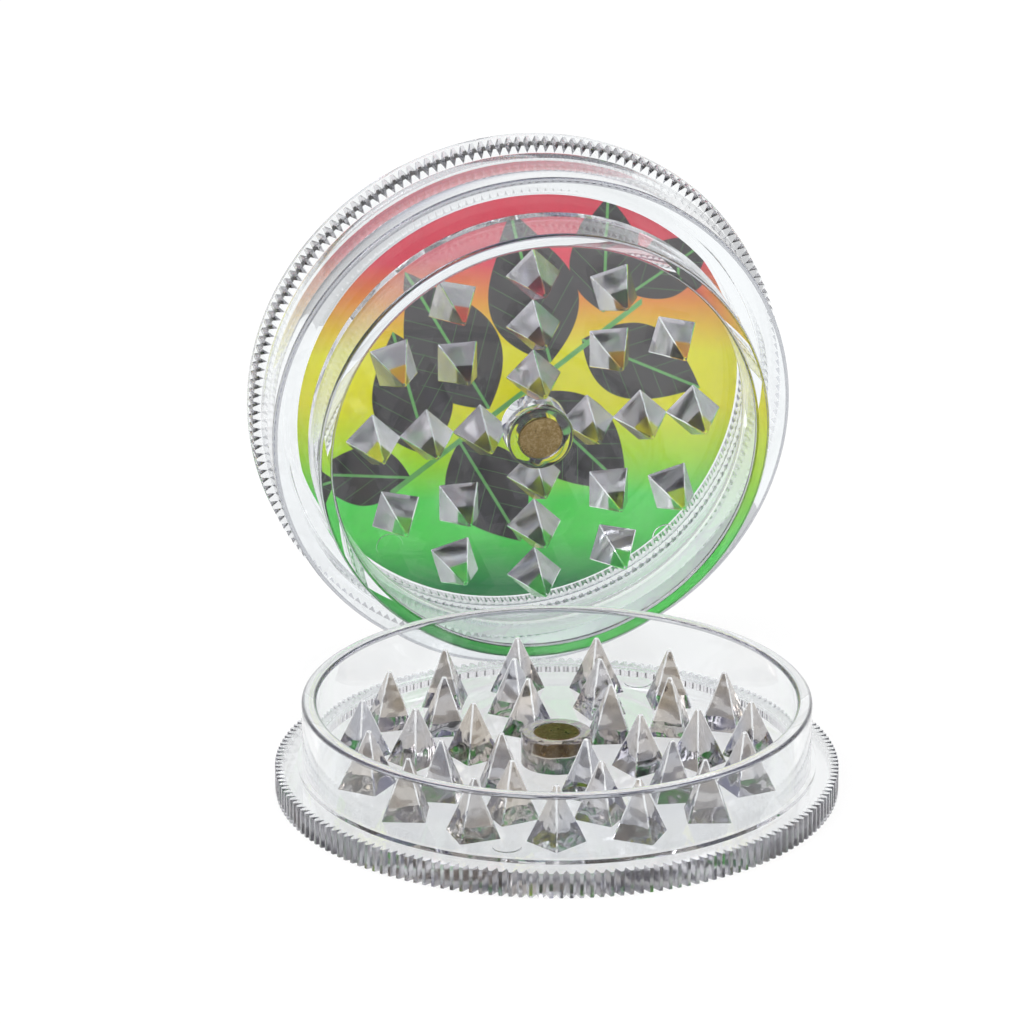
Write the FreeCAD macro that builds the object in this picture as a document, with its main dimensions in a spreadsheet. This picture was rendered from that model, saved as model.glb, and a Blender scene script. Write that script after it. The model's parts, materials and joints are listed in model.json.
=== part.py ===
"""Clear plastic hand grinder, opened: the base dish lies flat and the lid stands on its edge behind it.

Millimetres. The origin is the centre of the base's underside, +Z is up and the lid stands towards +Y.
The lid's pieces are modelled about their own axis, with z = 0 where the cap's flange meets the drum
and +z towards the open, toothed side, and are then stood up together by one placement.
"""
import FreeCAD
import Part
import Sketcher

import math
import os

from FreeCAD import Placement, Rotation, Vector

# Driving sizes, in millimetres, degrees and counts
SIZES = {
    # Knurl that runs round the base flange and the cap
    "knurl_radius": 30.0,
    "knurl_depth": 0.9,
    "knurl_land": 0.25,
    "knurl_count": 180,
    # Base dish
    "base_flange_height": 2.7,
    "base_shoulder_width": 0.5,
    "base_shoulder_rise": 0.45,
    "base_floor": 2.6,
    "base_ring_radius": 27.1,
    "base_ring_wall": 1.6,
    "base_rim_height": 10.0,
    "base_boss_radius": 3.8,
    "base_boss_height": 3.45,
    # Magnets
    "magnet_radius": 2.5,
    "magnet_thickness": 2.0,
    "magnet_chamfer": 0.2,
    "magnet_clearance": 0.05,
    "magnet_gap": 0.2,
    # Pyramid teeth, whose square feet have one diagonal on the radius
    "tooth_half_diagonal": 3.1,
    "tooth_height": 6.1,
    "tooth_tip": 0.3,
    "base_inner_ring": 9.0,
    "base_middle_ring": 15.0,
    "base_outer_ring": 20.8,
    "base_inner_teeth": 6,
    "base_middle_teeth": 10,
    "base_outer_teeth": 15,
    "base_inner_start": 50.0,
    "base_middle_start": 72.0,
    "base_outer_start": -90.0,
    "lid_inner_ring": 6.0,
    "lid_middle_ring": 12.0,
    "lid_outer_ring": 18.0,
    "lid_inner_teeth": 4,
    "lid_middle_teeth": 8,
    "lid_outer_teeth": 12,
    "lid_start": 0.0,
    # Lid drum and its nesting ring
    "drum_radius": 29.1,
    "drum_wall": 1.9,
    "drum_depth": 7.6,
    "lid_floor": 2.0,
    "nest_clearance": 0.3,
    "lid_ring_wall": 1.6,
    "lid_ring_height": 6.4,
    "lid_boss_radius": 3.7,
    # Knurled cap and the picture that lies in it
    "cap_knurl_height": 2.8,
    "cap_plate": 0.9,
    "cap_lip_width": 0.1,
    "plug_clearance": 0.3,
    "plug_wall": 1.2,
    "plug_depth": 3.0,
    "picture_thickness": 0.3,
    "picture_clearance": 0.3,
    # Bevelled edges
    "rim_bevel": 0.3,
    "drum_bevel": 0.4,
    "boss_bevel": 0.25,
    # How the lid stands behind the base
    "lid_yaw": 12.65,
    "lid_lean": 4.95,
    "lid_roll": 1.3,
    "lid_side": -4.3,
    "lid_stand_off": 0.9,
    "lid_overhang_gap": 0.3,
}

# Sizes worked out from the driving ones, so that what fits together stays together
FITS = {
    "knurl_blank": "Sizes.knurl_radius + Sizes.knurl_depth / 2",
    "knurl_pitch": "2 * pi * Sizes.knurl_radius / Sizes.knurl_count",
    "groove_half_width": "knurl_pitch / 2 - Sizes.knurl_land / 2",
    "base_ring_bore": "Sizes.base_ring_radius - Sizes.base_ring_wall",
    "base_shoulder_radius": "Sizes.base_ring_radius + Sizes.base_shoulder_width",
    "base_shoulder_top": "Sizes.base_flange_height + Sizes.base_shoulder_rise",
    "base_boss_top": "Sizes.base_floor + Sizes.base_boss_height",
    "magnet_bore": "Sizes.magnet_radius + Sizes.magnet_clearance",
    "tooth_half_side": "Sizes.tooth_half_diagonal / sqrt(2)",
    "tooth_half_tip": "Sizes.tooth_tip / sqrt(2)",
    "drum_bore": "Sizes.drum_radius - Sizes.drum_wall",
    "lid_floor_back": "Sizes.drum_depth - Sizes.lid_floor",
    "lid_ring_radius": "base_ring_bore - Sizes.nest_clearance",
    "lid_ring_bore": "lid_ring_radius - Sizes.lid_ring_wall",
    "lid_rim": "Sizes.drum_depth + Sizes.lid_ring_height",
    "lid_boss_top": "Sizes.drum_depth + Sizes.base_rim_height - base_boss_top - Sizes.magnet_gap",
    "cap_inside": "-Sizes.cap_knurl_height",
    "cap_back": "cap_inside - Sizes.cap_plate",
    "cap_lip_radius": "Sizes.knurl_radius + Sizes.cap_lip_width",
    "plug_radius": "drum_bore - Sizes.plug_clearance",
    "plug_bore": "plug_radius - Sizes.plug_wall",
    "picture_radius": "plug_bore - Sizes.picture_clearance",
}

X_AXIS = Vector(1, 0, 0)
Z_AXIS = Vector(0, 0, 1)
DIAGONAL = 45
NEAR = 1e-6

doc = FreeCAD.newDocument("Grinder")


def fill_sheet(name, cells):
    """Add a sheet with one alias a row."""
    sheet = doc.addObject("Spreadsheet::Sheet", name)
    for row, (alias, content) in enumerate(cells.items(), start=1):
        sheet.set(f"A{row}", alias)
        sheet.set(f"B{row}", content)
        sheet.setAlias(f"B{row}", alias)
    doc.recompute()
    return sheet


sizes = fill_sheet("Sizes", {alias: str(number) for alias, number in SIZES.items()})
fits = fill_sheet("Fits", {alias: "=" + formula for alias, formula in FITS.items()})


def cell(alias):
    """Name a size as expressions know it."""
    return ("Sizes." if alias in SIZES else "Fits.") + alias


def size(alias):
    """Read a size from its sheet as a plain number."""
    return float(getattr(sizes if alias in SIZES else fits, alias))


def bound(terms):
    """Turn a sum of size names, such as "a + b", into an expression."""
    return " ".join(term if term in "+-" else cell(term) for term in terms.split())


def total(terms):
    """Add up a sum of size names."""
    result, sign = 0.0, 1.0
    for term in terms.split():
        if term in "+-":
            sign = -1.0 if term == "-" else 1.0
        else:
            result += sign * size(term)
            sign = 1.0
    return result


def add_body(label):
    body = doc.addObject("PartDesign::Body", label)
    body.Label = label
    return body


def origin_part(body, role):
    """Find one of a body's own planes or axes."""
    return next(part for part in body.Origin.OriginFeatures if part.Role == role)


def add_outline(body, name, role, corners):
    """Sketch a closed outline whose corners are held by size expressions; "" is a corner on an axis."""
    sketch = body.newObject("Sketcher::SketchObject", name)
    sketch.AttachmentSupport = (origin_part(body, role), [""])
    sketch.MapMode = "FlatFace"
    places = [Vector(total(across), total(along), 0) for across, along in corners]
    for here, there in zip(places, places[1:] + places[:1]):
        sketch.addGeometry(Part.LineSegment(here, there))
    count = len(corners)
    for side in range(count):
        sketch.addConstraint(Sketcher.Constraint("Coincident", side, 2, (side + 1) % count, 1))
    for side, terms in enumerate(corners):
        for kind, axis, term, place in zip(("DistanceX", "DistanceY"), (-2, -1), terms, places[side]):
            if term:
                number = sketch.addConstraint(Sketcher.Constraint(kind, -1, 1, side, 1, place))
                sketch.setExpression(f"Constraints[{number}]", bound(term))
            else:
                sketch.addConstraint(Sketcher.Constraint("PointOnObject", side, 1, axis))
    return sketch


def add_turned(body, name, corners):
    """Turn a half outline, given as radius and height, about the body's axis."""
    turned = body.newObject("PartDesign::Revolution", name)
    turned.Profile = add_outline(body, name + "_outline", "XZ_Plane", corners)
    turned.ReferenceAxis = (turned.Profile[0], ["V_Axis"])
    turned.Angle = 360
    doc.recompute()


def add_bevel(body, name, width, circles):
    """Bevel the circular edges that lie at the given radii and heights."""
    base = body.Tip
    edges = []
    for number, edge in enumerate(base.Shape.Edges, start=1):
        if not isinstance(edge.Curve, Part.Circle):
            continue
        radius_height = (edge.Curve.Radius, edge.Curve.Center.z)
        if any(math.dist(radius_height, (size(across), size(along))) < NEAR for across, along in circles):
            edges.append(f"Edge{number}")
    if len(edges) != len(circles):
        raise RuntimeError(f"{name}: {len(edges)} edges found for {len(circles)} circles")
    bevelled = body.newObject("PartDesign::Chamfer", name)
    bevelled.Base = (base, edges)
    bevelled.setExpression("Size", cell(width))
    doc.recompute()


def add_pattern(body, name, feature, count):
    """Repeat a feature evenly round the body's axis."""
    pattern = body.newObject("PartDesign::PolarPattern", name)
    pattern.Originals = [feature]
    pattern.Axis = (origin_part(body, "Z_Axis"), [""])
    pattern.Angle = 360
    pattern.setExpression("Occurrences", cell(count))
    body.Tip = pattern
    doc.recompute()


def add_teeth(body, name, start, foot):
    """Stand a ring of square pyramids on a floor, each with a diagonal of its foot on the radius."""
    tooth = body.newObject("PartDesign::AdditiveWedge", name + "_tooth")
    tooth.AttachmentSupport = (origin_part(body, "XY_Plane"), [""])
    tooth.MapMode = "FlatFace"
    upright = Rotation(Z_AXIS, size(start) + DIAGONAL) * Rotation(X_AXIS, 90)
    tooth.AttachmentOffset = Placement(Vector(), upright)
    turn = f"{cell(start)} * 1 deg"
    tooth.setExpression("AttachmentOffset.Base.x", f"{cell(name + '_ring')} * cos({turn})")
    tooth.setExpression("AttachmentOffset.Base.y", f"{cell(name + '_ring')} * sin({turn})")
    tooth.setExpression("AttachmentOffset.Base.z", cell(foot))
    tooth.Ymin = 0
    tooth.setExpression("Ymax", cell("tooth_height"))
    for side, half in (("X", "tooth_half_side"), ("Z", "tooth_half_side"),
                       ("X2", "tooth_half_tip"), ("Z2", "tooth_half_tip")):
        tooth.setExpression(side + "min", "-" + cell(half))
        tooth.setExpression(side + "max", cell(half))
    doc.recompute()
    add_pattern(body, name + "_row", tooth, name + "_teeth")


def add_knurl(body, name, height, upwards):
    """Cut V grooves and flat lands all round the blank that starts at z = 0, upwards or downwards.

    One cut takes a groove and the land beside it, as far as the middle of the next groove.
    """
    sketch = add_outline(body, name + "_groove", "XY_Plane", [
        ("knurl_radius - knurl_depth", ""),
        ("knurl_radius", "groove_half_width"),
        ("knurl_radius", "knurl_pitch"),
        ("knurl_radius + knurl_depth", "knurl_pitch"),
        ("knurl_radius + knurl_depth", "- groove_half_width - groove_half_width"),
    ])
    volume = body.Tip.Shape.Volume
    groove = body.newObject("PartDesign::Pocket", name + "_cut")
    groove.Profile = sketch
    groove.Reversed = upwards
    groove.setExpression("Length", cell(height))
    doc.recompute()
    if groove.Shape.Volume >= volume:
        raise RuntimeError(f"{name}: the groove cuts nothing")
    add_pattern(body, name, groove, "knurl_count")


def add_disc(label, radius, height, chamfer=None):
    """Make a disc on z = 0, with its two edges bevelled where a chamfer is named."""
    disc = doc.addObject("Part::Cylinder", label + "_blank" if chamfer else label)
    disc.setExpression("Radius", cell(radius))
    disc.setExpression("Height", cell(height))
    doc.recompute()
    if not chamfer:
        return disc
    bevelled = doc.addObject("Part::Chamfer", label)
    bevelled.Base = disc
    edges = enumerate(disc.Shape.Edges, start=1)
    rims = [number for number, edge in edges if isinstance(edge.Curve, Part.Circle)]
    bevelled.Edges = [(number, size(chamfer), size(chamfer)) for number in rims]
    doc.recompute()
    return bevelled


def make_base_dish():
    body = add_body("base_dish")
    add_turned(body, "dish", [
        ("", ""),
        ("knurl_blank", ""),
        ("knurl_blank", "base_flange_height"),
        ("base_shoulder_radius", "base_flange_height"),
        ("base_shoulder_radius", "base_shoulder_top"),
        ("base_ring_radius", "base_shoulder_top"),
        ("base_ring_radius", "base_rim_height"),
        ("base_ring_bore", "base_rim_height"),
        ("base_ring_bore", "base_floor"),
        ("base_boss_radius", "base_floor"),
        ("base_boss_radius", "base_boss_top"),
        ("magnet_bore", "base_boss_top"),
        ("magnet_bore", "base_boss_top - magnet_thickness"),
        ("", "base_boss_top - magnet_thickness"),
    ])
    add_bevel(body, "dish_rim", "rim_bevel", [
        ("base_ring_radius", "base_rim_height"),
        ("base_ring_bore", "base_rim_height"),
    ])
    add_bevel(body, "dish_boss", "boss_bevel", [("base_boss_radius", "base_boss_top")])
    for ring in ("inner", "middle", "outer"):
        add_teeth(body, f"base_{ring}", f"base_{ring}_start", "base_floor")
    add_knurl(body, "dish_knurl", "base_flange_height", upwards=True)
    return body


def make_lid_drum():
    body = add_body("lid_drum")
    add_turned(body, "drum", [
        ("", "lid_floor_back"),
        ("drum_bore", "lid_floor_back"),
        ("drum_bore", ""),
        ("drum_radius", ""),
        ("drum_radius", "drum_depth"),
        ("lid_ring_radius", "drum_depth"),
        ("lid_ring_radius", "lid_rim"),
        ("lid_ring_bore", "lid_rim"),
        ("lid_ring_bore", "drum_depth"),
        ("lid_boss_radius", "drum_depth"),
        ("lid_boss_radius", "lid_boss_top"),
        ("magnet_bore", "lid_boss_top"),
        ("magnet_bore", "lid_boss_top - magnet_thickness"),
        ("", "lid_boss_top - magnet_thickness"),
    ])
    add_bevel(body, "drum_rim", "rim_bevel", [("lid_ring_radius", "lid_rim"), ("lid_ring_bore", "lid_rim")])
    add_bevel(body, "drum_edge", "drum_bevel", [("drum_radius", "drum_depth")])
    add_bevel(body, "drum_boss", "boss_bevel", [("lid_boss_radius", "lid_boss_top")])
    for ring in ("inner", "middle", "outer"):
        add_teeth(body, f"lid_{ring}", "lid_start", "drum_depth")
    return body


def make_stash_cap():
    body = add_body("stash_cap")
    add_turned(body, "cap_ring", [
        ("plug_bore", "cap_inside"),
        ("knurl_blank", "cap_inside"),
        ("knurl_blank", ""),
        ("plug_radius", ""),
        ("plug_radius", "plug_depth"),
        ("plug_bore", "plug_depth"),
    ])
    add_knurl(body, "cap_knurl", "cap_knurl_height", upwards=False)
    add_turned(body, "cap_back_plate", [
        ("", "cap_back"),
        ("cap_lip_radius", "cap_back"),
        ("cap_lip_radius", "cap_inside"),
        ("", "cap_inside"),
    ])
    add_bevel(body, "cap_edge", "rim_bevel", [("cap_lip_radius", "cap_back")])
    return body


def standing_lid():
    """Work out the placement that stands the lid on its knurl, leaning towards the base ring."""
    yaw, lean = math.radians(size("lid_yaw")), math.radians(size("lid_lean"))
    height = size("knurl_radius") * math.cos(lean)
    rim, ring = size("lid_rim"), size("lid_ring_radius")
    rim_low = height - rim * math.sin(lean) - ring * math.cos(lean)
    overhangs = rim_low > size("base_shoulder_top") + size("lid_overhang_gap")
    front = size("base_ring_radius") if overhangs else size("knurl_radius")
    back = front + size("lid_stand_off") + (rim * math.cos(lean) - ring * math.sin(lean)) * math.cos(yaw)
    facing = Rotation(Z_AXIS, size("lid_yaw")) * Rotation(X_AXIS, 90 + size("lid_lean"))
    return Placement(Vector(size("lid_side"), back, height), facing * Rotation(Z_AXIS, size("lid_roll")))


def raised(height):
    return Placement(Vector(0, 0, height), Rotation())


base_dish = make_base_dish()
base_magnet = add_disc("base_magnet", "magnet_radius", "magnet_thickness", "magnet_chamfer")
base_magnet.Placement = raised(total("base_boss_top - magnet_thickness"))

lid_stand = standing_lid()
lid_drum = make_lid_drum()
lid_drum.Placement = lid_stand
lid_magnet = add_disc("lid_magnet", "magnet_radius", "magnet_thickness", "magnet_chamfer")
lid_magnet.Placement = lid_stand * raised(total("lid_boss_top - magnet_thickness"))
stash_cap = make_stash_cap()
stash_cap.Placement = lid_stand
picture_disc = add_disc("picture_disc", "picture_radius", "picture_thickness")
picture_disc.Placement = lid_stand * raised(size("cap_inside"))
doc.recompute()

for thing in doc.Objects:
    if "Invalid" in thing.State or "Error" in thing.State:
        raise RuntimeError(f"{thing.Name} failed: {thing.State}")

os.makedirs("parts", exist_ok=True)
for piece in (base_dish, base_magnet, lid_drum, lid_magnet, stash_cap, picture_disc):
    if piece.Shape.isNull() or not piece.Shape.isValid() or len(piece.Shape.Solids) != 1:
        raise RuntimeError(f"{piece.Label} is not one sound solid")
    piece.Shape.exportStep(f"parts/{piece.Label}.step")
    print(f"{piece.Label}: {piece.Shape.Volume:.1f} cubic mm")
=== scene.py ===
"""Looks of a clear plastic hand grinder, opened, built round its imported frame.

The base dish lies flat at the origin and the lid stands on its edge behind it. The lid's pieces are
modelled about their own axis, with z = 0 where the cap meets the drum and +z towards the teeth, and
are then stood up together.
"""

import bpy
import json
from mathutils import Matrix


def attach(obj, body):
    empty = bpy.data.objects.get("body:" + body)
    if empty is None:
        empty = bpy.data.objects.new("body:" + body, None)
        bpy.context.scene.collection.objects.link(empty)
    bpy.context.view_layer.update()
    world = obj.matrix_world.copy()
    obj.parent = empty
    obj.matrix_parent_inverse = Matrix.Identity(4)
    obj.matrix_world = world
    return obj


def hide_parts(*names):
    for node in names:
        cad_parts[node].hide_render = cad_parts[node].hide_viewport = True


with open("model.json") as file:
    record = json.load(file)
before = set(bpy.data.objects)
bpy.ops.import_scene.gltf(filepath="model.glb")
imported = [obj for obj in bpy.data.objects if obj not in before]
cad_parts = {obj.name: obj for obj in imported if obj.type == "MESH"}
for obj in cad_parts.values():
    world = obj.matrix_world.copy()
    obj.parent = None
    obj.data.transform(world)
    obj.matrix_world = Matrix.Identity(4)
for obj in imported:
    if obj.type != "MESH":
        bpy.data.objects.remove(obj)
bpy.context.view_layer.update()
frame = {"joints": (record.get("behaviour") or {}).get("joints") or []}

import json
import math

import bmesh
import bpy
from bpy.props import FloatProperty, FloatVectorProperty, IntProperty, PointerProperty
from mathutils import Matrix, Vector

bl_info = {
    "name": "Clear hand grinder",
    "version": (1, 0, 0),
    "blender": (4, 5, 0),
    "location": "View3D > Sidebar > Grinder",
    "description": "Models the clear pieces, magnets and printed disc of an opened hand grinder",
    "category": "Object",
}

MM = 0.001
WHITE = (1.0, 1.0, 1.0, 1.0)

# How the lid stands, from the joint it turns on
LID_TURN = next(joint for joint in frame["joints"] if joint["name"] == "lid_turn")
LID_CENTRE = Vector(LID_TURN["pos_m"])
LID_AXIS = Vector(LID_TURN["axis"]).normalized()
LID_YAW = math.atan2(LID_AXIS.x, -LID_AXIS.y)
LID_LEAN = math.asin(-LID_AXIS.z)
LID_ROLL = math.radians(1.3)

# How close two measures count as one, and how close two vertices are merged
NEAR = 2e-5
MERGE = 1e-7

# Tests on a face's normal, by its part along the axis
FLAT_FACE = 0.9
STEEP_FACE = 0.3
ROUNDED_FACE = (0.1, 0.99)
SLOPE_MATCH = 0.02

# Detail of the meshes: columns of vertices to a rib, sides of round pieces, steps in rounded edges
RIB_COLUMNS = 3
MARK_SIDES = 32
MAGNET_SIDES = 96
DISC_SIDES = 256
FINE_STEPS = 2
ROUND_STEPS = 3
DRUM_STEPS = 4
SMOOTH_ANGLE = math.radians(40)

# How far teeth and pin marks are let into their floor, and the smallest rounded edges
ROOT = 0.2 * MM
MARK_ROUND = 0.08 * MM
MAGNET_TOP_ROUND = 0.25 * MM
MAGNET_FOOT_ROUND = 0.2 * MM
DISC_ROUND = 0.06 * MM

# Rings of teeth: radius in millimetres, count, and the angle of the first tooth in degrees
BASE_RINGS = ((9.0, 6, 50.0), (15.0, 10, 72.0), (20.8, 15, -90.0))
LID_RINGS = ((6.0, 4, 0.0), (12.0, 8, 0.0), (18.0, 12, 0.0))
# Places of the moulding pin marks, in millimetres
BASE_MARKS = ((-5.0, -22.4), (8.9, 22.3))
LID_MARKS = ((15.0, -15.2), (-16.3, -13.1))

# Bands of the print: share of its height from the foot, and the colour there
BANDS = (
    (0.02, "print_edge"),
    (0.15, "print_bottom"),
    (0.24, "print_bottom"),
    (0.35, "print_lower"),
    (0.47, "print_middle"),
    (0.59, "print_middle"),
    (0.71, "print_upper"),
    (0.80, "print_top"),
)
PRINT_RADIUS = 25.4 * MM
BAND_TILT = 0.09
BAND_WAVER = 3.0 * MM
INK_EDGE = 0.12 * MM
# Leaves of the printed spray, in millimetres and degrees: x and y of the foot, direction, length and
# half width
LEAVES = (
    (-12.0, -9.5, 172.0, 11.5, 3.4),
    (-10.0, -7.0, 104.0, 16.0, 4.2),
    (-6.5, -5.5, -62.0, 15.0, 4.3),
    (-3.0, -2.0, 118.0, 19.0, 4.8),
    (1.0, -0.5, -48.0, 17.5, 4.6),
    (4.0, 3.0, 104.0, 18.0, 4.7),
    (7.5, 5.5, -28.0, 15.5, 4.2),
    (10.0, 8.5, 88.0, 14.0, 3.8),
    (13.0, 10.5, 32.0, 11.0, 3.2),
)
# Veins of a leaf: half widths, and the spacing, slant and strength of those beside the midrib
MIDRIB_HALF = 0.22 * MM
VEIN_HALF = 0.09 * MM
VEIN_PITCH = 2.6 * MM
VEIN_SLANT = 1.1
VEIN_STRENGTH = 0.6
# Stem of the spray: a slanting line, its drop below the centre, its reach and its half width
STEM_SLOPE = 0.72
STEM_DROP = 0.9 * MM
STEM_REACH = 14.0 * MM
STEM_HALF = 0.45 * MM

ACRYLIC_IOR = 1.49

# Stage: floor, surroundings, lamps (name, place, watts, width) and the point that they face
FLOOR_SIZE = 8.0
FLOOR_DROP = 0.1 * MM
FLOOR_GLOW = 0.85
BACK_START, BACK_FADE = 0.62, 0.22
CEILING_START, CEILING_FADE = 0.40, 0.20
LIGHT_STRENGTH = 2.3
LAMPS = (
    ("key", (-0.55, -0.35, 0.75), 5.0, 0.55),
    ("fill", (0.70, -0.25, 0.45), 2.0, 0.50),
)
LAMP_AIM = Vector((0.0, 0.02, 0.02))
# Light turns many times inside the clear teeth before it leaves them
CLEAR_BOUNCES = 24
MIRROR_BOUNCES = 16

# Camera: its place, the degrees that it looks down and aside, and its lens in millimetres
CAMERA_PLACE = (0.0, -593.3 * MM, 251.2 * MM)
CAMERA_DOWN = 20.37
CAMERA_ASIDE = 0.46
CAMERA_SENSOR = 36.0
CAMERA_LENS = 212.06
CAMERA_NEAREST = 0.01


def length(name, description, millimetres):
    """A length that a user may change, given in millimetres."""
    return FloatProperty(
        name=name, description=description, default=millimetres * MM, min=0.0, unit="LENGTH")


def colour(name, description, red, green, blue):
    """A colour that a user may change."""
    return FloatVectorProperty(
        name=name, description=description, default=(red, green, blue), size=3, min=0.0, max=1.0,
        subtype="COLOR")


class GrinderSizes(bpy.types.PropertyGroup):
    """Sizes of the grinder's pieces."""
    knurl_radius: length("Knurl radius", "Outside of the knurled flanges", 30.0)
    knurl_depth: length("Knurl depth", "Depth of the V grooves", 0.9)
    knurl_count: IntProperty(
        name="Knurl count", description="V grooves round a flange", default=180, min=12)
    flange_height: length("Flange height", "Height of the base flange", 2.7)
    shoulder_width: length("Shoulder width", "Step at the foot of the base ring", 0.5)
    shoulder_rise: length("Shoulder rise", "Height of that step", 0.45)
    base_floor: length("Base floor", "Height of the dish's floor", 2.6)
    base_ring: length("Base ring", "Outer radius of the base ring", 27.1)
    ring_wall: length("Ring wall", "Thickness of both nesting rings", 1.6)
    base_rim: length("Base rim", "Height of the base ring's rim", 10.0)
    base_boss: length("Base boss", "Radius of the magnet boss in the dish", 3.8)
    base_boss_top: length("Base boss top", "Height of that boss", 6.05)
    magnet_radius: length("Magnet radius", "Radius of a disc magnet", 2.5)
    magnet_thickness: length("Magnet thickness", "Thickness of a disc magnet", 2.0)
    magnet_bore: length("Magnet bore", "Radius of the pocket that holds a magnet", 2.55)
    tooth_half: length("Tooth half diagonal", "Half the diagonal of a tooth's square foot", 3.1)
    tooth_tip: length("Tooth tip", "Half the diagonal of a tooth's blunt tip", 0.3)
    tooth_height: length("Tooth height", "Height of a tooth", 6.1)
    tooth_edge: length("Tooth edge", "Rounding of a tooth's edges", 0.14)
    drum: length("Drum", "Outer radius of the lid drum", 29.1)
    drum_wall: length("Drum wall", "Thickness of the drum's wall", 1.9)
    drum_depth: length("Drum depth", "Depth of the drum", 7.6)
    drum_plate: length("Drum plate", "Thickness of the plate that carries the lid's teeth", 2.0)
    drum_round: length("Drum round", "Rounding of the drum's front edge", 0.5)
    lid_ring: length("Lid ring", "Outer radius of the lid's nesting ring", 25.2)
    lid_ring_height: length("Lid ring height", "How far that ring stands out of the drum", 6.4)
    lid_boss: length("Lid boss", "Radius of the magnet boss in the lid", 3.7)
    lid_boss_height: length("Lid boss height", "How far that boss stands out", 3.75)
    cap_knurl: length("Cap knurl", "Width of the cap's knurled band", 2.8)
    cap_plate: length("Cap plate", "Thickness of the smooth plate behind the knurl", 0.9)
    cap_lip: length("Cap lip", "How far that plate stands out beyond the knurl", 0.1)
    plug: length("Plug", "Outer radius of the cap's plug", 26.9)
    plug_wall: length("Plug wall", "Thickness of the plug's wall", 1.2)
    plug_depth: length("Plug depth", "How far the plug reaches into the drum", 3.0)
    disc_radius: length("Disc radius", "Radius of the printed disc", 25.4)
    disc_thickness: length("Disc thickness", "Thickness of the printed disc", 0.3)
    rim_round: length("Rim round", "Rounding of the rims", 0.35)
    boss_round: length("Boss round", "Rounding of the bosses", 0.3)
    mark_radius: length("Mark radius", "Radius of the moulding pin marks", 1.5)
    mark_rise: length("Mark rise", "How far a pin mark stands out", 0.12)
    seat_gap: length("Seat gap", "Air left where two pieces seat on each other", 0.03)


class GrinderColours(bpy.types.PropertyGroup):
    """Colours of the grinder's finishes, as linear light."""
    plastic: colour("Clear plastic", "Tint of the clear moulding", 0.945, 0.960, 0.968)
    # Painted shade: the four satin tints below are greys and browns that darken the clear teeth and
    # the base's boss; within each pair the tint drifts at random
    warm_satin_shade: colour("Warm satin", "Warm tint of the base's teeth and boss", 0.370, 0.312, 0.245)
    cool_satin_shade: colour("Cool satin", "Cool tint of the base's teeth and boss", 0.270, 0.275, 0.312)
    pale_satin_shade: colour("Pale satin", "Pale tint of the lid's teeth", 0.600, 0.580, 0.610)
    grey_satin_shade: colour("Grey satin", "Grey tint of the lid's teeth", 0.410, 0.405, 0.440)
    # Painted shade: a grey-blue tint that darkens the clear knurl's ribs and grooves
    knurl: colour("Ribbed plastic", "Tint of the knurl's ribs and grooves", 0.700, 0.700, 0.735)
    # Painted shade: a dark tint on the rounded edges of the rings and drum, for the dark lines along
    # them
    rim: colour("Tooled rim", "Tint of the rounded edges of rings and drum", 0.340, 0.345, 0.375)
    magnet: colour("Magnet", "Dull plated metal", 0.270, 0.190, 0.085)
    magnet_fleck: colour("Magnet fleck", "Bright flecks in the plating", 0.550, 0.430, 0.240)
    print_top: colour("Print top", "Colour at the top of the print", 0.900, 0.062, 0.110)
    print_upper: colour("Print upper", "Colour above the middle", 0.960, 0.340, 0.030)
    print_middle: colour("Print middle", "Colour of the middle band", 0.970, 0.930, 0.010)
    print_lower: colour("Print lower", "Colour below the middle", 0.560, 0.930, 0.030)
    print_bottom: colour("Print bottom", "Colour low on the print", 0.130, 0.950, 0.140)
    print_edge: colour("Print edge", "Colour at the foot of the print", 0.025, 0.340, 0.085)
    leaf: colour("Leaf", "Dark leaves of the print", 0.046, 0.040, 0.043)
    vein: colour("Vein", "Pale veins of the leaves", 0.180, 0.520, 0.150)
    floor: colour("Floor", "Pale surface that the grinder stands on", 0.500, 0.500, 0.500)
    room: colour("Room", "Dim surroundings that the clear pieces mirror", 0.060, 0.062, 0.080)
    ceiling: colour("Ceiling", "Tint overhead that the clear pieces mirror", 0.300, 0.308, 0.470)


def lid_stand():
    """The placement that stands the lid's own frame up behind the base."""
    turn = Matrix.Rotation(LID_YAW, 4, "Z") @ Matrix.Rotation(math.pi / 2 + LID_LEAN, 4, "X")
    return Matrix.Translation(LID_CENTRE) @ turn @ Matrix.Rotation(LID_ROLL, 4, "Z")


# Modelling steps

def across(vertex):
    """Distance of a vertex from the axis."""
    return math.hypot(vertex.co.x, vertex.co.y)


def select_only(piece):
    """Make a piece the only one selected, and the active one."""
    bpy.ops.object.select_all(action="DESELECT")
    piece.select_set(True)
    bpy.context.view_layer.objects.active = piece


def pick(kind, test):
    """Select the vertices, edges or faces of the mesh in edit mode that pass a test."""
    bpy.ops.mesh.select_mode(type=kind)
    bpy.ops.mesh.select_all(action="DESELECT")
    data = bpy.context.edit_object.data
    mesh = bmesh.from_edit_mesh(data)
    parts = {"VERT": mesh.verts, "EDGE": mesh.edges, "FACE": mesh.faces}[kind]
    for part in parts:
        if test(part):
            part.select_set(True)
    mesh.select_flush_mode()
    bmesh.update_edit_mesh(data)


def start_round(name, radius, low, high, sides):
    """Add a cylinder between two heights and open it in edit mode."""
    bpy.ops.mesh.primitive_cylinder_add(
        vertices=sides, radius=radius, depth=high - low, location=(0, 0, (low + high) / 2))
    bpy.ops.object.transform_apply(location=True, rotation=True, scale=True)
    piece = bpy.context.object
    piece.name = piece.data.name = name
    bpy.ops.object.mode_set(mode="EDIT")
    return piece


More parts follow.
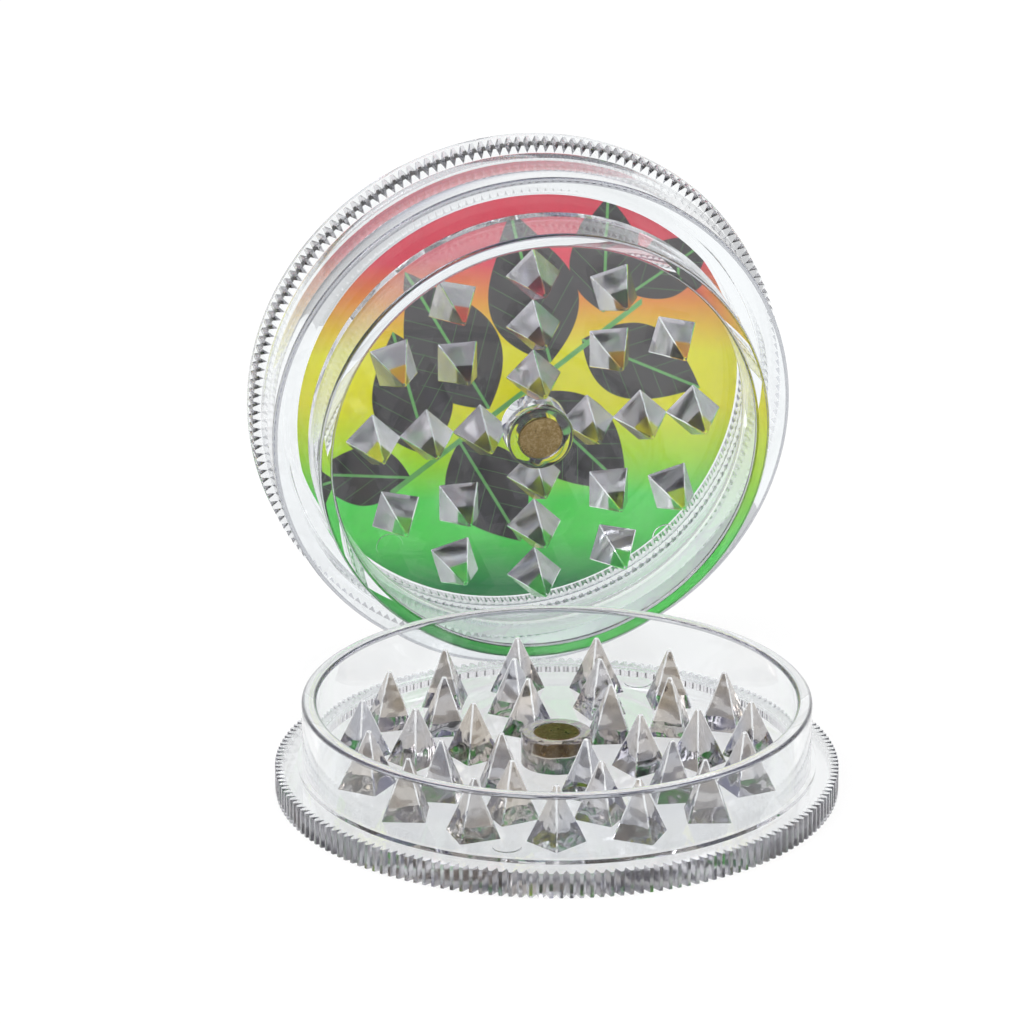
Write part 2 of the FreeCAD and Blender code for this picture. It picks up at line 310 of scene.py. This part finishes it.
def step_face(height, radius, steps):
    """From the flat face at a height, inset to each radius in turn and push on to each height."""
    def on_face(face):
        level = all(abs(vertex.co.z - height) < NEAR for vertex in face.verts)
        return level and abs(face.normal.z) > FLAT_FACE
    pick("FACE", on_face)
    for next_radius, next_height in steps:
        if radius - next_radius > NEAR:
            bpy.ops.mesh.inset(thickness=radius - next_radius, depth=0.0)
        move = {"value": (0, 0, next_height - height)}
        bpy.ops.mesh.extrude_region_move(TRANSFORM_OT_translate=move)
        radius, height = next_radius, next_height


def round_ring(radius, height, width, steps):
    """Bevel the circular edge at a radius and a height."""
    def on_ring(edge):
        return all(abs(across(vertex) - radius) < NEAR and abs(vertex.co.z - height) < NEAR
                   for vertex in edge.verts)
    pick("EDGE", on_ring)
    bpy.ops.mesh.bevel(offset=width, offset_type="OFFSET", segments=steps, affect="EDGES")


def cut_knurl(sizes, low, high):
    """Draw in one column of vertices to a rib, so that V grooves run across the flange."""
    pitch = 2 * math.pi / sizes.knurl_count
    column = 1 / RIB_COLUMNS

    def in_groove(vertex):
        phase = (math.atan2(vertex.co.y, vertex.co.x) / pitch + column / 2) % 1.0
        level = low - NEAR < vertex.co.z < high + NEAR
        return level and abs(across(vertex) - sizes.knurl_radius) < NEAR and phase < column
    pick("VERT", in_groove)
    share = (sizes.knurl_radius - sizes.knurl_depth) / sizes.knurl_radius
    bpy.ops.transform.resize(value=(share, share, 1.0), center_override=(0, 0, 0))


def close_edit():
    """Merge doubles, turn the faces outwards and leave edit mode."""
    bpy.ops.mesh.select_mode(type="VERT")
    bpy.ops.mesh.select_all(action="SELECT")
    bpy.ops.mesh.remove_doubles(threshold=MERGE)
    bpy.ops.mesh.normals_make_consistent(inside=False)
    bpy.ops.object.mode_set(mode="OBJECT")


def apply_modifier(piece, kind, **settings):
    """Add a modifier with its settings and apply it."""
    select_only(piece)
    modifier = piece.modifiers.new(kind.lower(), kind)
    for name, setting in settings.items():
        setattr(modifier, name, setting)
    bpy.ops.object.modifier_apply(modifier=modifier.name)


def add_tooth(sizes, foot):
    """Model one pyramid tooth on the axis, its foot let into the floor and its edges rounded."""
    spread = (sizes.tooth_half - sizes.tooth_tip) / sizes.tooth_height
    bpy.ops.mesh.primitive_cone_add(
        vertices=4, radius1=sizes.tooth_half + ROOT * spread, radius2=sizes.tooth_tip,
        depth=sizes.tooth_height + ROOT, location=(0, 0, foot + (sizes.tooth_height - ROOT) / 2))
    bpy.ops.object.transform_apply(location=True, rotation=True, scale=True)
    tooth = bpy.context.object
    bpy.ops.object.mode_set(mode="EDIT")
    pick("EDGE", lambda edge: max(vertex.co.z for vertex in edge.verts) > foot)
    bpy.ops.mesh.bevel(
        offset=sizes.tooth_edge, offset_type="OFFSET", segments=FINE_STEPS, affect="EDGES")
    close_edit()
    return tooth


def add_mark(sizes, floor):
    """Model one shallow round pin mark on the axis."""
    top = floor + sizes.mark_rise
    mark = start_round("mark", sizes.mark_radius, floor - ROOT, top, MARK_SIDES)
    round_ring(sizes.mark_radius, top, MARK_ROUND, FINE_STEPS)
    close_edit()
    return mark


def copies(pattern, places):
    """Copy a piece to each place, join the copies and remove the pattern."""
    made = []
    for place in places:
        copy = pattern.copy()
        copy.data = pattern.data.copy()
        copy.data.transform(place)
        bpy.context.collection.objects.link(copy)
        made.append(copy)
    bpy.data.objects.remove(pattern)
    select_only(made[0])
    for copy in made[1:]:
        copy.select_set(True)
    bpy.ops.object.join()
    return bpy.context.object


def grow(piece, addition):
    """Fuse an addition with a piece, as one moulding."""
    apply_modifier(piece, "BOOLEAN", operation="UNION", solver="EXACT", object=addition)
    bpy.data.objects.remove(addition)


def grow_teeth(piece, sizes, foot, rings):
    """Stand rings of teeth on a floor, each tooth with one diagonal of its foot on the radius."""
    for radius, count, start in rings:
        outwards = Matrix.Translation((radius * MM, 0, 0))
        turns = [math.radians(start) + 2 * math.pi * number / count for number in range(count)]
        places = [Matrix.Rotation(turn, 4, "Z") @ outwards for turn in turns]
        grow(piece, copies(add_tooth(sizes, foot), places))


def grow_marks(piece, sizes, floor, marks):
    """Raise the pin marks on a floor."""
    places = [Matrix.Translation((x * MM, y * MM, 0)) for x, y in marks]
    grow(piece, copies(add_mark(sizes, floor), places))


def smooth(piece):
    """Shade smoothly, with flat faces kept flat beside their rounded edges."""
    select_only(piece)
    bpy.ops.object.shade_smooth_by_angle(angle=SMOOTH_ANGLE)
    apply_modifier(piece, "WEIGHTED_NORMAL", mode="FACE_AREA", weight=100, keep_sharp=True)


def stand_up(piece):
    """Move a lid piece from its own frame to where the lid stands."""
    piece.matrix_world = lid_stand()
    select_only(piece)
    bpy.ops.object.transform_apply(location=True, rotation=True, scale=True)


def give_finish(piece, material):
    """Put a material all over a piece."""
    piece.data.materials.clear()
    piece.data.materials.append(material)


def paint_faces(piece, material, test):
    """Give the faces that pass a test a material of their own."""
    if material.name not in piece.data.materials:
        piece.data.materials.append(material)
    select_only(piece)
    bpy.ops.object.mode_set(mode="EDIT")
    pick("FACE", test)
    piece.active_material_index = piece.data.materials.find(material.name)
    bpy.ops.object.material_slot_assign()
    bpy.ops.object.mode_set(mode="OBJECT")


def paint_teeth(piece, material, sizes, floor):
    """Paint the flat sides of the teeth, which all slope alike."""
    run = (sizes.tooth_half - sizes.tooth_tip) / math.sqrt(2)
    slope = run / math.hypot(run, sizes.tooth_height)

    def on_side(face):
        sloping = abs(face.normal.z - slope) < SLOPE_MATCH
        return sloping and face.calc_center_median().z > floor
    paint_faces(piece, material, on_side)


def paint_knurl(piece, material, sizes):
    """Paint the ribs and grooves of the knurl."""
    groove = sizes.knurl_radius - sizes.knurl_depth

    def on_knurl(face):
        reach = [across(vertex) for vertex in face.verts]
        between = min(reach) > groove - NEAR and max(reach) < sizes.knurl_radius + NEAR
        return between and abs(face.normal.z) < STEEP_FACE
    paint_faces(piece, material, on_knurl)


def paint_rim(piece, material, inner, low):
    """Paint the rounded edges beyond a radius and above a height."""
    least, most = ROUNDED_FACE

    def on_round(face):
        beyond = all(across(vertex) > inner - NEAR and vertex.co.z > low - NEAR
                     for vertex in face.verts)
        return beyond and least < face.normal.z < most
    paint_faces(piece, material, on_round)


def paint_boss(piece, material, bore, radius, floor):
    """Paint the top and the outside of a boss."""
    def on_boss(face):
        reach = [across(vertex) for vertex in face.verts]
        outside = min(reach) > bore - NEAR and bore + NEAR < max(reach) < radius + NEAR
        return outside and face.calc_center_median().z > floor + NEAR
    paint_faces(piece, material, on_boss)


def hand_over(piece, body, node):
    """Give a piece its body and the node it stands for."""
    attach(piece, body)
    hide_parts(node)


# Shader nodes

class Value:
    """A shader socket that takes part in Python expressions."""

    def __init__(self, finish, socket):
        self.finish, self.socket = finish, socket

    def maths(self, operation, *values):
        inputs = dict(enumerate(values))
        return self.finish.node("ShaderNodeMath", {"operation": operation}, inputs)

    def __add__(self, other):
        return self.maths("ADD", self, other)

    def __radd__(self, other):
        return self.maths("ADD", other, self)

    def __sub__(self, other):
        return self.maths("SUBTRACT", self, other)

    def __rsub__(self, other):
        return self.maths("SUBTRACT", other, self)

    def __mul__(self, other):
        return self.maths("MULTIPLY", self, other)

    def __rmul__(self, other):
        return self.maths("MULTIPLY", other, self)

    def __truediv__(self, other):
        return self.maths("DIVIDE", self, other)

    def __abs__(self):
        return self.maths("ABSOLUTE", self)

    def clamped(self):
        return self.finish.node("ShaderNodeClamp", {}, {0: self})

    def larger(self, other):
        return self.maths("MAXIMUM", self, other)

    def smaller(self, other):
        return self.maths("MINIMUM", self, other)

    def fraction(self):
        return self.maths("FRACT", self)


class Finish:
    """A node tree, and the one method that adds nodes to it."""

    def __init__(self, owner):
        owner.use_nodes = True
        self.tree = owner.node_tree
        self.tree.nodes.clear()

    def node(self, kind, settings=None, inputs=None, output=0):
        node = self.tree.nodes.new(kind)
        for name, setting in (settings or {}).items():
            if name == "stops":
                set_stops(node.color_ramp, setting)
            else:
                setattr(node, name, setting)
        for name, value in (inputs or {}).items():
            if isinstance(value, Value):
                self.tree.links.new(value.socket, node.inputs[name])
            else:
                node.inputs[name].default_value = value
        return Value(self, node.outputs[output]) if node.outputs else None

    def place(self):
        """Object coordinates."""
        return self.node("ShaderNodeTexCoord", output="Object")

    def part(self, vector, axis):
        """One coordinate of a vector."""
        return self.node("ShaderNodeSeparateXYZ", {}, {0: vector}, axis)

    def noise(self, vector, scale, detail, roughness=0.5):
        inputs = {"Vector": vector, "Scale": scale, "Detail": detail, "Roughness": roughness}
        return self.node("ShaderNodeTexNoise", {}, inputs, "Fac")

    def blend(self, factor, first, second):
        """Mix two colours."""
        inputs = {0: factor, 6: first, 7: second}
        return self.node("ShaderNodeMix", {"data_type": "RGBA"}, inputs, 2)

    def bump(self, height, strength, distance):
        inputs = {"Height": height, "Strength": strength, "Distance": distance}
        return self.node("ShaderNodeBump", {}, inputs)

    def surface(self, **inputs):
        """The shader and the output that end a material."""
        named = {name.replace("_", " "): value for name, value in inputs.items()}
        shader = self.node("ShaderNodeBsdfPrincipled", {}, named)
        self.node("ShaderNodeOutputMaterial", {}, {"Surface": shader})


def set_stops(ramp, stops):
    """Set a ramp's stops, each a position and a colour."""
    while len(ramp.elements) < len(stops):
        ramp.elements.new(0.5)
    for element, (position, shade) in zip(ramp.elements, stops):
        element.position = position
        element.color = shade


def opaque(shade):
    """A colour with full alpha, as colour sockets take it."""
    return (*shade, 1.0)


def clear_plastic(colours):
    """Clear polished moulding with faint flow waves, and haze and fine dust in its roughness."""
    if "clear plastic" in bpy.data.materials:
        return bpy.data.materials["clear plastic"]
    material = bpy.data.materials.new("clear plastic")
    finish = Finish(material)
    place = finish.place()
    haze = finish.noise(place, scale=90.0, detail=4.0, roughness=0.6)
    dust = finish.noise(place, scale=1400.0, detail=2.0, roughness=0.7)
    flow = finish.noise(place, scale=160.0, detail=2.0, roughness=0.4)
    hazy = 0.030 * (haze - 0.45).larger(0.0)
    dusty = 0.05 * (dust - 0.62).larger(0.0)
    finish.surface(
        Base_Color=opaque(colours.plastic), Roughness=0.012 + hazy + dusty,
        IOR=ACRYLIC_IOR, Transmission_Weight=1.0,
        Normal=finish.bump(flow, strength=0.03, distance=0.4 * MM))
    return material


def satin_plastic_with_painted_shade(name, first, second, haze, sink):
    """The same moulding where it left the mould unpolished, on the teeth and the base's boss.

    Its tint, a painted shade of greys and browns that darkens the clear plastic, drifts at random
    between two colours, and its surface waves where the plastic sank.
    """
    material = bpy.data.materials.new(name)
    finish = Finish(material)
    place = finish.place()
    patch = finish.noise(place, scale=130.0, detail=2.0)
    cloud = finish.noise(place, scale=420.0, detail=3.0, roughness=0.6)
    grain = finish.noise(place, scale=5200.0, detail=2.0, roughness=0.6)
    wave = finish.noise(place, scale=360.0, detail=1.0, roughness=0.4)
    drift = ((patch - 0.36) * 3.5).clamped()
    finish.surface(
        Base_Color=finish.blend(drift, opaque(first), opaque(second)),
        Roughness=haze + 0.11 * cloud, IOR=ACRYLIC_IOR, Transmission_Weight=1.0,
        Normal=finish.bump(wave + grain * 0.004, strength=sink, distance=2.0 * MM))
    return material


def tooled_plastic_with_painted_shade(name, tint):
    """The moulding on its knurl and its rounded rims, where fine tool marks spread the light; its
    tint, darker than the clear plastic, is painted shade.
    """
    if name in bpy.data.materials:
        return bpy.data.materials[name]
    material = bpy.data.materials.new(name)
    finish = Finish(material)
    place = finish.place()
    cloud = finish.noise(place, scale=600.0, detail=3.0, roughness=0.6)
    grain = finish.noise(place, scale=6400.0, detail=2.0, roughness=0.6)
    finish.surface(
        Base_Color=opaque(tint), Roughness=0.06 + 0.12 * cloud,
        IOR=ACRYLIC_IOR, Transmission_Weight=1.0,
        Normal=finish.bump(grain, strength=0.06, distance=0.03 * MM))
    return material


def magnet_metal(colours):
    """Dull plated metal, speckled brown and gold."""
    if "magnet metal" in bpy.data.materials:
        return bpy.data.materials["magnet metal"]
    material = bpy.data.materials.new("magnet metal")
    finish = Finish(material)
    place = finish.place()
    fleck = finish.noise(place, scale=2600.0, detail=4.0, roughness=0.7)
    cloud = finish.noise(place, scale=700.0, detail=3.0, roughness=0.6)
    share = ((fleck - 0.45) * 3.0 + (cloud - 0.5)).clamped()
    finish.surface(
        Base_Color=finish.blend(share, opaque(colours.magnet), opaque(colours.magnet_fleck)),
        Metallic=1.0, Roughness=0.16 + 0.30 * cloud,
        Normal=finish.bump(fleck, strength=0.35, distance=0.05 * MM))
    return material


def leaf_share(across_x, across_y, leaf):
    """How far a point lies inside a pointed oval leaf, and how far on its veins."""
    foot_x, foot_y, direction, reach, half = leaf
    angle = math.radians(direction)
    cosine, sine = math.cos(angle), math.sin(angle)
    along = (across_x - foot_x * MM) * cosine + (across_y - foot_y * MM) * sine
    aside = abs((across_y - foot_y * MM) * cosine - (across_x - foot_x * MM) * sine)
    share = along / (reach * MM)
    # Fuller towards the foot than towards the tip
    fullness = share * (1.0 - share) * (1.35 - 0.55 * share)
    outline = fullness.larger(0.0) * (4.0 * half * MM)
    inside = ((outline - aside) / INK_EDGE).clamped()
    midrib = ((MIDRIB_HALF - aside) / INK_EDGE).clamped()
    row = ((along - aside * VEIN_SLANT) / VEIN_PITCH).fraction()
    beside = abs(row - 0.5) * VEIN_PITCH
    vein = ((VEIN_HALF - beside) / INK_EDGE).clamped() * VEIN_STRENGTH
    return inside, inside * midrib.larger(vein)


def printed_card(colours):
    """Glossy print: bands from red through yellow to green, with a spray of dark pointed leaves."""
    material = bpy.data.materials.new("printed card")
    finish = Finish(material)
    stand = lid_stand()
    local = finish.node("ShaderNodeMapping", {"vector_type": "TEXTURE"}, {
        "Vector": finish.place(), "Location": stand.translation, "Rotation": stand.to_euler("XYZ")})
    across_x, across_y = finish.part(local, "X"), finish.part(local, "Y")
    waver = (finish.noise(local, scale=60.0, detail=2.0) - 0.5) * BAND_WAVER
    height = (across_y + across_x * BAND_TILT + waver + PRINT_RADIUS) / (2 * PRINT_RADIUS)
    stops = [(position, opaque(getattr(colours, name))) for position, name in BANDS]
    bands = finish.node("ShaderNodeValToRGB", {"stops": stops}, {0: height})
    leaves, veins = 0.0, 0.0
    for leaf in LEAVES:
        inside, vein = leaf_share(across_x, across_y, leaf)
        leaves, veins = inside.larger(leaves), vein.larger(veins)
    stem_line = abs(across_y - across_x * STEM_SLOPE + STEM_DROP)
    stem_ends = abs(across_x) - STEM_REACH
    stem = ((STEM_HALF - stem_line.larger(stem_ends)) / INK_EDGE).clamped()
    ink = finish.noise(local, scale=2200.0, detail=2.0, roughness=0.6)
    paint = finish.blend(leaves, bands, opaque(colours.leaf))
    paint = finish.blend(veins.larger(stem), paint, opaque(colours.vein))
    paint = finish.blend((ink - 0.5).clamped() * 0.30, paint, opaque(colours.leaf))
    finish.surface(
        Base_Color=paint, Roughness=0.32 + 0.12 * ink, Coat_Weight=0.4,
        Normal=finish.bump(ink, strength=0.05, distance=0.03 * MM))
    return material


def seen_ray(finish):
    """Two shares: one for rays from the camera, one for those and mirrored and refracted rays too.

    A ray that a dull surface has scattered gathers light for it, so the second leaves it out.
    """
    straight, mirrored, refracted = [
        finish.node("ShaderNodeLightPath", output=kind)
        for kind in ("Is Camera Ray", "Is Glossy Ray", "Is Transmission Ray")]
    scattered = finish.node("ShaderNodeLightPath", output="Diffuse Depth").smaller(1.0)
    return straight, straight.larger(mirrored).larger(refracted) * (1.0 - scattered)


# Operators

class GRINDER_OT_base_dish(bpy.types.Operator):
    """Model the base dish with its knurled flange, ring, boss and rings of teeth"""
    bl_idname = "grinder.base_dish"
    bl_label = "Base dish"

    def execute(self, context):
        sizes = context.scene.grinder_sizes
        colours = context.scene.grinder_colours
        floor, rim, boss_top = sizes.base_floor, sizes.base_rim, sizes.base_boss_top
        bore = sizes.base_ring - sizes.ring_wall
        sides = RIB_COLUMNS * sizes.knurl_count
        dish = start_round("base_dish_clear", sizes.knurl_radius, 0.0, sizes.flange_height, sides)
        step_face(sizes.flange_height, sizes.knurl_radius, (
            (sizes.base_ring + sizes.shoulder_width, sizes.flange_height + sizes.shoulder_rise),
            (sizes.base_ring, rim),
            (bore, floor),
            (sizes.base_boss, boss_top),
            (sizes.magnet_bore, boss_top - sizes.magnet_thickness),
        ))
        round_ring(sizes.base_ring, rim, sizes.rim_round, ROUND_STEPS)
        round_ring(bore, rim, sizes.rim_round, ROUND_STEPS)
        round_ring(sizes.base_boss, boss_top, sizes.boss_round, ROUND_STEPS)
        cut_knurl(sizes, 0.0, sizes.flange_height)
        close_edit()
        grow_teeth(dish, sizes, floor, BASE_RINGS)
        grow_marks(dish, sizes, floor, BASE_MARKS)
        smooth(dish)
        # Painted shade: grey and brown tints darken the clear teeth and boss
        satin = satin_plastic_with_painted_shade(
            "satin base teeth with painted shade", colours.warm_satin_shade, colours.cool_satin_shade, haze=0.015, sink=0.30)
        give_finish(dish, clear_plastic(colours))
        paint_teeth(dish, satin, sizes, floor)
        paint_boss(dish, satin, sizes.magnet_bore, sizes.base_boss, floor)
        # Painted shade: a grey tint darkens the knurl
        paint_knurl(dish, tooled_plastic_with_painted_shade("ribbed plastic with painted shade", colours.knurl), sizes)
        # Painted shade: a dark tint on the rounded rims
        paint_rim(dish, tooled_plastic_with_painted_shade("rim painted shade", colours.rim), bore, rim - sizes.rim_round)
        hand_over(dish, "base", "base_dish")
        return {"FINISHED"}


class GRINDER_OT_lid_drum(bpy.types.Operator):
    """Model the lid drum with its nesting ring, boss and rings of teeth"""
    bl_idname = "grinder.lid_drum"
    bl_label = "Lid drum"

    def execute(self, context):
        sizes = context.scene.grinder_sizes
        colours = context.scene.grinder_colours
        floor = sizes.drum_depth
        rim = floor + sizes.lid_ring_height
        boss_top = floor + sizes.lid_boss_height
        bore = sizes.lid_ring - sizes.ring_wall
        sides = RIB_COLUMNS * sizes.knurl_count
        drum = start_round("lid_drum_clear", sizes.drum, sizes.seat_gap, floor, sides)
        step_face(floor, sizes.drum, (
            (sizes.lid_ring, rim),
            (bore, floor),
            (sizes.lid_boss, boss_top),
            (sizes.magnet_bore, boss_top - sizes.magnet_thickness),
        ))
        step_face(sizes.seat_gap, sizes.drum, (
            (sizes.drum - sizes.drum_wall, floor - sizes.drum_plate),
        ))
        round_ring(sizes.lid_ring, rim, sizes.rim_round, ROUND_STEPS)
        round_ring(bore, rim, sizes.rim_round, ROUND_STEPS)
        round_ring(sizes.lid_boss, boss_top, sizes.boss_round, ROUND_STEPS)
        round_ring(sizes.drum, floor, sizes.drum_round, DRUM_STEPS)
        close_edit()
        grow_teeth(drum, sizes, floor, LID_RINGS)
        grow_marks(drum, sizes, floor, LID_MARKS)
        smooth(drum)
        # Painted shade: grey tints darken the clear teeth
        satin = satin_plastic_with_painted_shade(
            "satin lid teeth with painted shade", colours.pale_satin_shade, colours.grey_satin_shade, haze=0.13, sink=0.03)
        # Painted shade: a dark tint on the rounded rims and the drum's front edge
        tooled = tooled_plastic_with_painted_shade("rim painted shade", colours.rim)
        give_finish(drum, clear_plastic(colours))
        paint_teeth(drum, satin, sizes, floor)
        paint_rim(drum, tooled, bore, rim - sizes.rim_round)
        paint_rim(drum, tooled, sizes.drum - sizes.drum_round, floor - sizes.drum_round)
        stand_up(drum)
        hand_over(drum, "lid", "lid_drum")
        return {"FINISHED"}


class GRINDER_OT_stash_cap(bpy.types.Operator):
    """Model the knurled cap with its lip and plug"""
    bl_idname = "grinder.stash_cap"
    bl_label = "Stash cap"

    def execute(self, context):
        sizes = context.scene.grinder_sizes
        colours = context.scene.grinder_colours
        inside = -sizes.cap_knurl
        back = inside - sizes.cap_plate
        lip = sizes.knurl_radius + sizes.cap_lip
        cap = start_round("stash_cap_clear", lip, back, inside, RIB_COLUMNS * sizes.knurl_count)
        step_face(inside, lip, (
            (sizes.knurl_radius, 0.0),
            (sizes.plug, sizes.plug_depth),
            (sizes.plug - sizes.plug_wall, inside),
        ))
        round_ring(lip, back, sizes.rim_round, ROUND_STEPS)
        round_ring(sizes.plug, sizes.plug_depth, sizes.boss_round, FINE_STEPS)
        cut_knurl(sizes, inside, 0.0)
        close_edit()
        smooth(cap)
        give_finish(cap, clear_plastic(colours))
        # Painted shade: a grey tint darkens the knurl
        paint_knurl(cap, tooled_plastic_with_painted_shade("ribbed plastic with painted shade", colours.knurl), sizes)
        stand_up(cap)
        hand_over(cap, "cap", "stash_cap")
        return {"FINISHED"}


class GRINDER_OT_magnets(bpy.types.Operator):
    """Model the two disc magnets in their bosses"""
    bl_idname = "grinder.magnets"
    bl_label = "Magnets"

    def execute(self, context):
        sizes = context.scene.grinder_sizes
        lid_top = sizes.drum_depth + sizes.lid_boss_height
        for body, node, top in (
                ("base", "base_magnet", sizes.base_boss_top), ("lid", "lid_magnet", lid_top)):
            low = top - sizes.magnet_thickness + sizes.seat_gap
            magnet = start_round(node + "_disc", sizes.magnet_radius, low, top, MAGNET_SIDES)
            round_ring(sizes.magnet_radius, top, MAGNET_TOP_ROUND, ROUND_STEPS)
            round_ring(sizes.magnet_radius, low, MAGNET_FOOT_ROUND, FINE_STEPS)
            close_edit()
            smooth(magnet)
            give_finish(magnet, magnet_metal(context.scene.grinder_colours))
            if body == "lid":
                stand_up(magnet)
            hand_over(magnet, body, node)
        return {"FINISHED"}


class GRINDER_OT_printed_disc(bpy.types.Operator):
    """Model the printed disc that lies in the cap"""
    bl_idname = "grinder.printed_disc"
    bl_label = "Printed disc"

    def execute(self, context):
        sizes = context.scene.grinder_sizes
        low = -sizes.cap_knurl + sizes.seat_gap
        top = -sizes.cap_knurl + sizes.disc_thickness
        disc = start_round("printed_disc", sizes.disc_radius, low, top, DISC_SIDES)
        round_ring(sizes.disc_radius, top, DISC_ROUND, FINE_STEPS)
        close_edit()
        smooth(disc)
        give_finish(disc, printed_card(context.scene.grinder_colours))
        stand_up(disc)
        hand_over(disc, "cap", "picture_disc")
        return {"FINISHED"}


class GRINDER_OT_stage(bpy.types.Operator):
    """Set up the floor, the surroundings, the lamps and the camera"""
    bl_idname = "grinder.stage"
    bl_label = "Stage"

    def execute(self, context):
        scene = context.scene
        self.add_floor(scene.grinder_colours)
        self.add_world(scene, scene.grinder_colours)
        self.add_lamps()
        self.add_camera(scene)
        scene.view_settings.view_transform = "Standard"
        scene.cycles.max_bounces = CLEAR_BOUNCES
        scene.cycles.glossy_bounces = MIRROR_BOUNCES
        scene.cycles.transmission_bounces = CLEAR_BOUNCES
        return {"FINISHED"}

    def add_floor(self, colours):
        bpy.ops.mesh.primitive_plane_add(size=FLOOR_SIZE, location=(0, 0, -FLOOR_DROP))
        floor = bpy.context.object
        floor.name = "floor"
        material = bpy.data.materials.new("pale floor")
        finish = Finish(material)
        lit = finish.node("ShaderNodeBsdfDiffuse", {}, {"Color": opaque(colours.floor)})
        glow = finish.node("ShaderNodeEmission", {}, {"Color": WHITE, "Strength": 1.0})
        seen = seen_ray(finish)[1]
        both = finish.node("ShaderNodeMixShader", {}, {0: seen * FLOOR_GLOW, 1: lit, 2: glow})
        finish.node("ShaderNodeOutputMaterial", {}, {"Surface": both})
        floor.data.materials.append(material)

    def add_world(self, scene, colours):
        world = bpy.data.worlds.new("studio")
        scene.world = world
        finish = Finish(world)
        direction = finish.node("ShaderNodeTexCoord", output="Generated")
        back = ((finish.part(direction, "Y") - BACK_START) / BACK_FADE).clamped()
        overhead = ((finish.part(direction, "Z") - CEILING_START) / CEILING_FADE).clamped()
        straight, seen = seen_ray(finish)
        dim = finish.blend(overhead, opaque(colours.room), opaque(colours.ceiling))
        shade = finish.blend(straight.larger(back), dim, WHITE)
        light = finish.node(
            "ShaderNodeBackground", {}, {"Color": WHITE, "Strength": LIGHT_STRENGTH})
        view = finish.node("ShaderNodeBackground", {}, {"Color": shade, "Strength": 1.0})
        both = finish.node("ShaderNodeMixShader", {}, {0: seen, 1: light, 2: view})
        finish.node("ShaderNodeOutputWorld", {}, {"Surface": both})

    def add_lamps(self):
        for name, place, power, width in LAMPS:
            bpy.ops.object.light_add(type="AREA", location=place)
            lamp = bpy.context.object
            lamp.name = name
            lamp.data.energy = power
            lamp.data.size = width
            towards = LAMP_AIM - Vector(place)
            lamp.rotation_euler = towards.to_track_quat("-Z", "Y").to_euler()

    def add_camera(self, scene):
        turn = (math.radians(90 - CAMERA_DOWN), 0, math.radians(CAMERA_ASIDE))
        bpy.ops.object.camera_add(location=CAMERA_PLACE, rotation=turn)
        camera = bpy.context.object
        camera.name = "camera"
        camera.data.sensor_width = CAMERA_SENSOR
        camera.data.lens = CAMERA_LENS
        camera.data.clip_start = CAMERA_NEAREST
        scene.camera = camera


class GRINDER_PT_panel(bpy.types.Panel):
    """The grinder's pieces, in the order they are made"""
    bl_idname = "GRINDER_PT_panel"
    bl_label = "Clear hand grinder"
    bl_space_type = "VIEW_3D"
    bl_region_type = "UI"
    bl_category = "Grinder"

    def draw(self, context):
        for operator in OPERATORS:
            self.layout.operator(operator.bl_idname)
        for settings in (context.scene.grinder_sizes, context.scene.grinder_colours):
            box = self.layout.box()
            for name in settings.__annotations__:
                box.prop(settings, name)


OPERATORS = (
    GRINDER_OT_base_dish,
    GRINDER_OT_lid_drum,
    GRINDER_OT_stash_cap,
    GRINDER_OT_magnets,
    GRINDER_OT_printed_disc,
    GRINDER_OT_stage,
)
CLASSES = (GrinderSizes, GrinderColours, *OPERATORS, GRINDER_PT_panel)


def register():
    for item in CLASSES:
        bpy.utils.register_class(item)
    bpy.types.Scene.grinder_sizes = PointerProperty(type=GrinderSizes)
    bpy.types.Scene.grinder_colours = PointerProperty(type=GrinderColours)


def unregister():
    del bpy.types.Scene.grinder_colours
    del bpy.types.Scene.grinder_sizes
    for item in reversed(CLASSES):
        bpy.utils.unregister_class(item)


def main():
    register()
    bpy.ops.grinder.base_dish()
    bpy.ops.grinder.lid_drum()
    bpy.ops.grinder.stash_cap()
    bpy.ops.grinder.magnets()
    bpy.ops.grinder.printed_disc()
    bpy.ops.grinder.stage()


if __name__ == "__main__":
    main()
